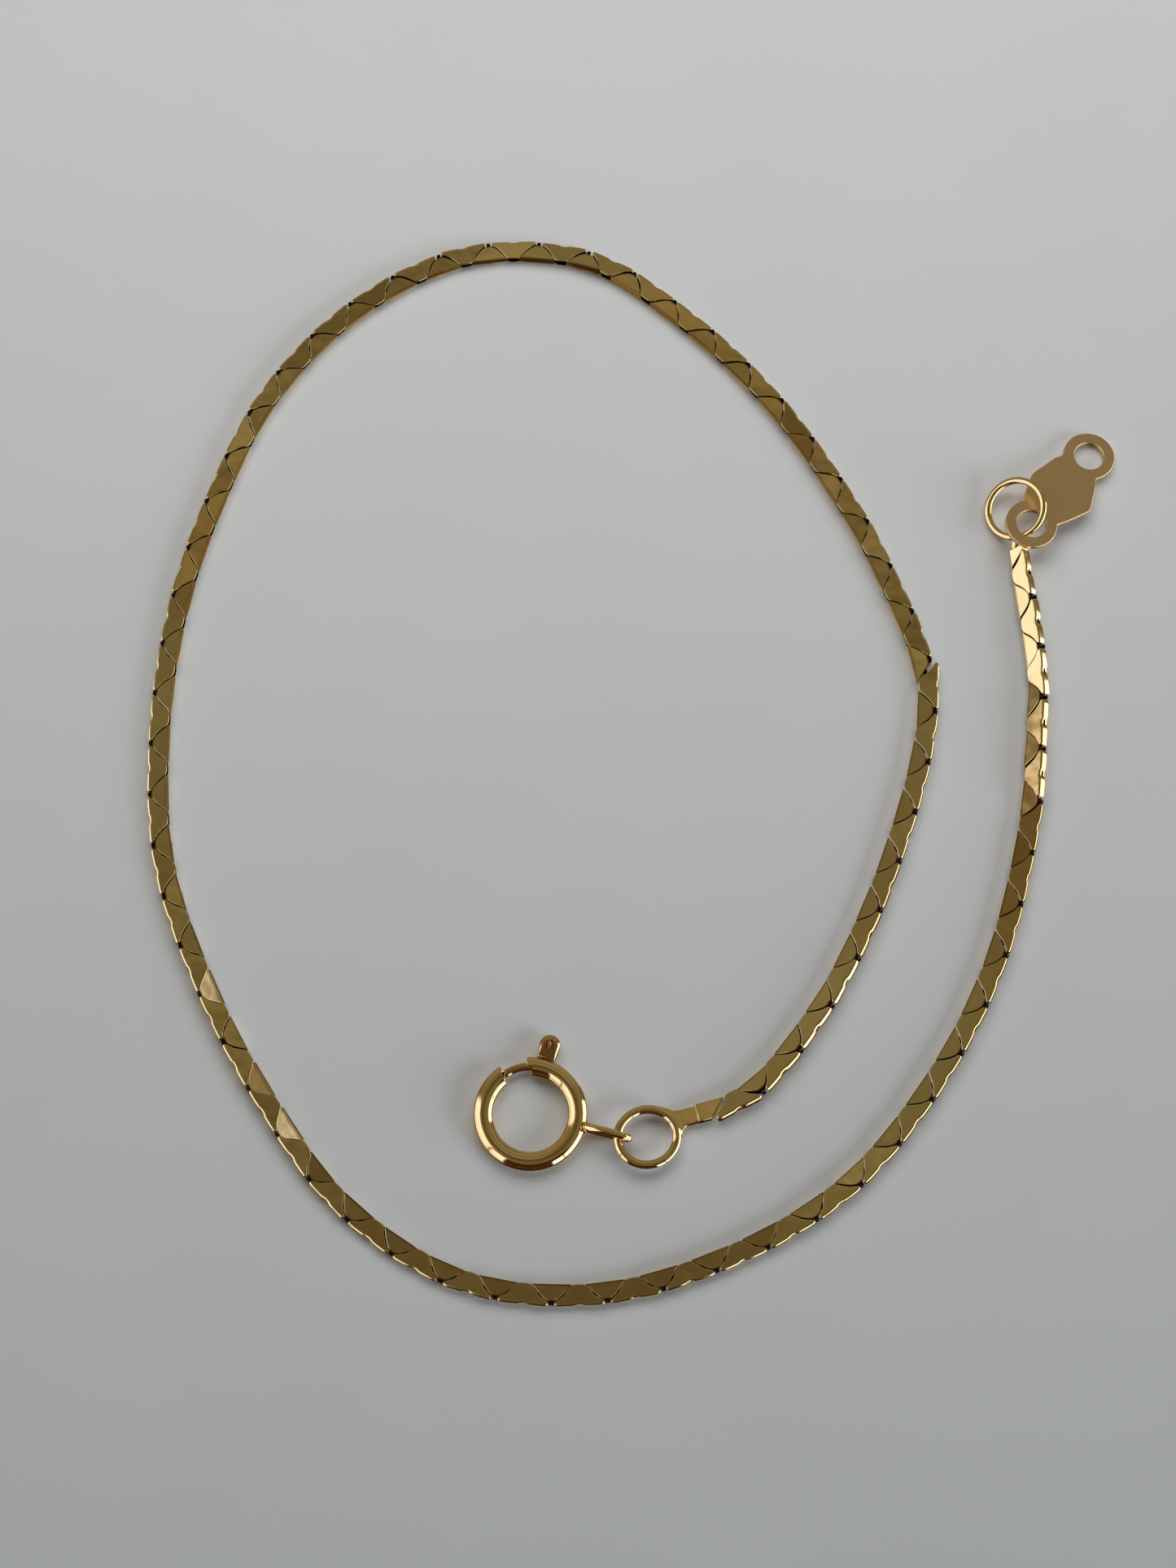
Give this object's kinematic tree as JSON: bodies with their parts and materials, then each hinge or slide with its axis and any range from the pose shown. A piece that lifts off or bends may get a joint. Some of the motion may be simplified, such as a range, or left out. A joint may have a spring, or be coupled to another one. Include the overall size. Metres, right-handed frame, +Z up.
{
  "type": "link bracelet",
  "caption": "Fine flat link bracelet laid open in a loop, with a spring ring clasp on a jump ring at one end and a bare two-eyelet end tag at the other.",
  "frame": {"origin": "on the table, under the middle of the bracelet's bounding box", "axes": "+Z up off the table, +Y from the clasp side of the loop to its far side, +X towards the end tag"},
  "size_m": [0.045, 0.0506, 0.0017],
  "materials": {
    "chain_gold": "bright rolled yellow gold with tarnished grooves",
    "polished_gold": "polished yellow gold",
    "satin_gold": "satin yellow gold"
  },
  "bodies": {
    "bracelet": {"chain": "chain_gold", "clasp_jump_ring": "polished_gold", "tag_jump_ring": "polished_gold", "end_tag": "satin_gold", "clasp_body": "polished_gold"},
    "latch": {"clasp_latch": "polished_gold"}
  },
  "joints": [
    {"name": "latch_slide", "type": "hinge", "parent": "bracelet", "child": "latch", "pos_m": [-0.00465, -0.01711, 0.00042], "axis": [0, 0, -1], "range_deg": [0, 38], "stiffness_Nm_per_rad": 0.0001}
  ]
}
